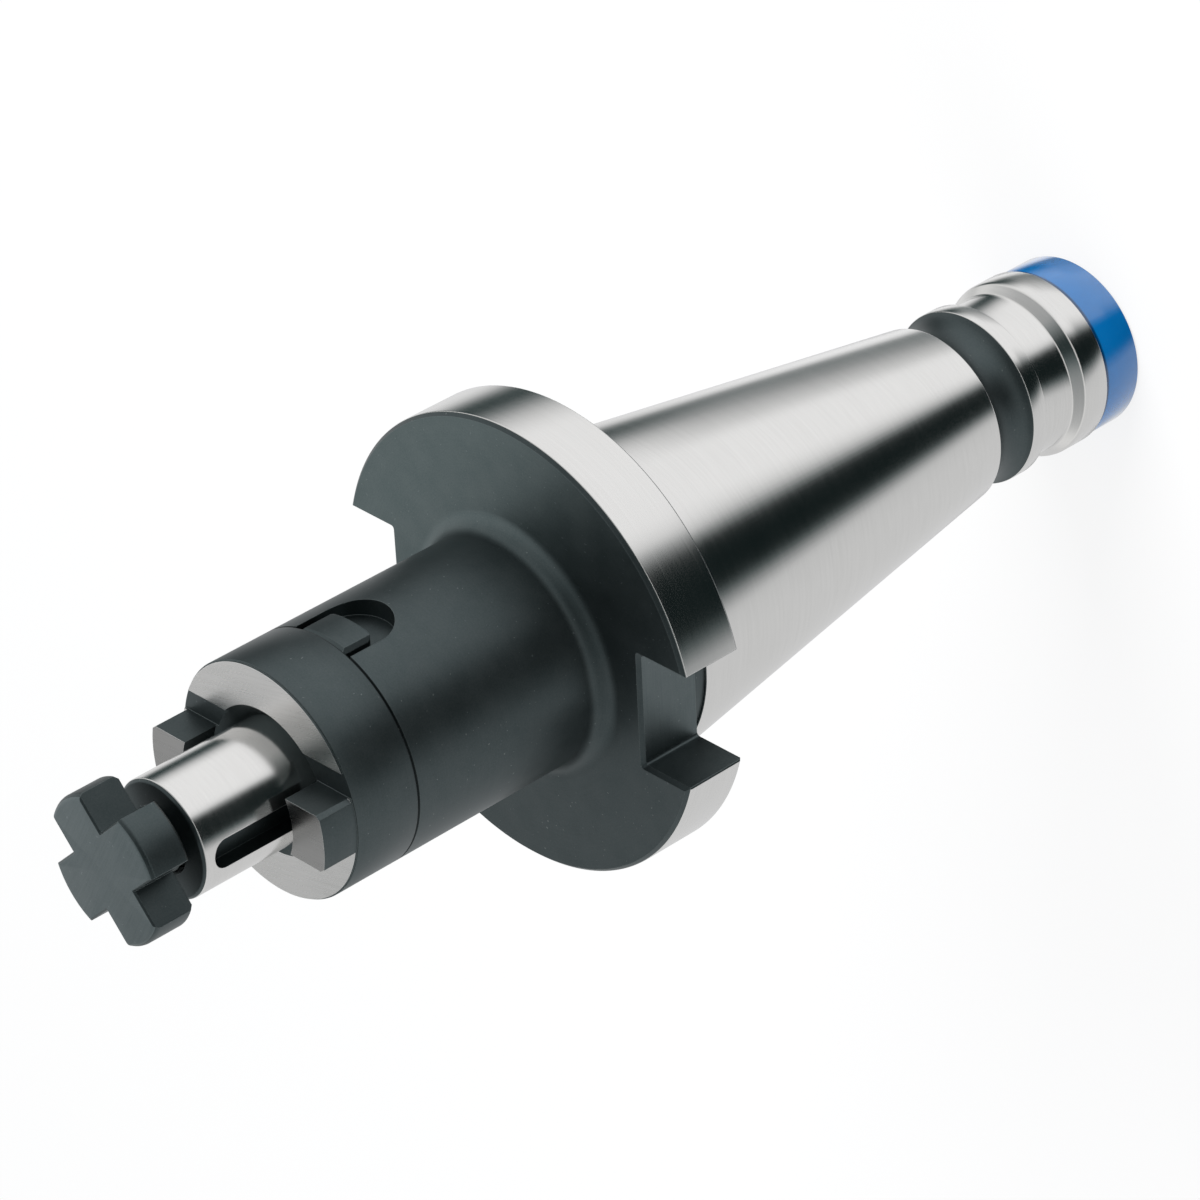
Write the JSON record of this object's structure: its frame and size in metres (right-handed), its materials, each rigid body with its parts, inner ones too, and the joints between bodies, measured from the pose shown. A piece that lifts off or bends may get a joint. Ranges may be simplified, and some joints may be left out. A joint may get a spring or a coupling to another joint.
{
  "type": "shell mill arbor",
  "caption": "Shell mill arbor: steep taper shank, slotted flange, keyed pilot with a driving ring and a cruciform-head clamp screw.",
  "frame": {"origin": "on the axis, in the gauge plane of the taper, where its diameter is 44.45 mm", "axes": "+Z along the axis towards the cutter, +X through one drive slot of the flange and the pilot's keyway, +Y through one of the shoulder's slots"},
  "size_m": [0.0608, 0.063, 0.1713],
  "materials": {
    "arbor_steel": "ground bright on taper, flange rim and pilot, black oxide elsewhere",
    "ring_black": "black oxide with a ground front face",
    "screw_black": "black oxide",
    "blue_plastic": "glossy blue"
  },
  "bodies": {
    "arbor": {"arbor_body": "arbor_steel", "colour_ring": "blue_plastic"},
    "driving_ring": {"driving_ring": "ring_black"},
    "clamp_screw": {"clamp_screw": "screw_black"}
  },
  "joints": [
    {"name": "ring_slide", "type": "slide", "parent": "arbor", "child": "driving_ring", "axis": [0, 0, 1], "range_m": [0, 0.0117]},
    {"name": "screw_travel", "type": "slide", "parent": "arbor", "child": "clamp_screw", "axis": [0, 0, 1], "range_m": [-0.0028, 0.045]}
  ]
}
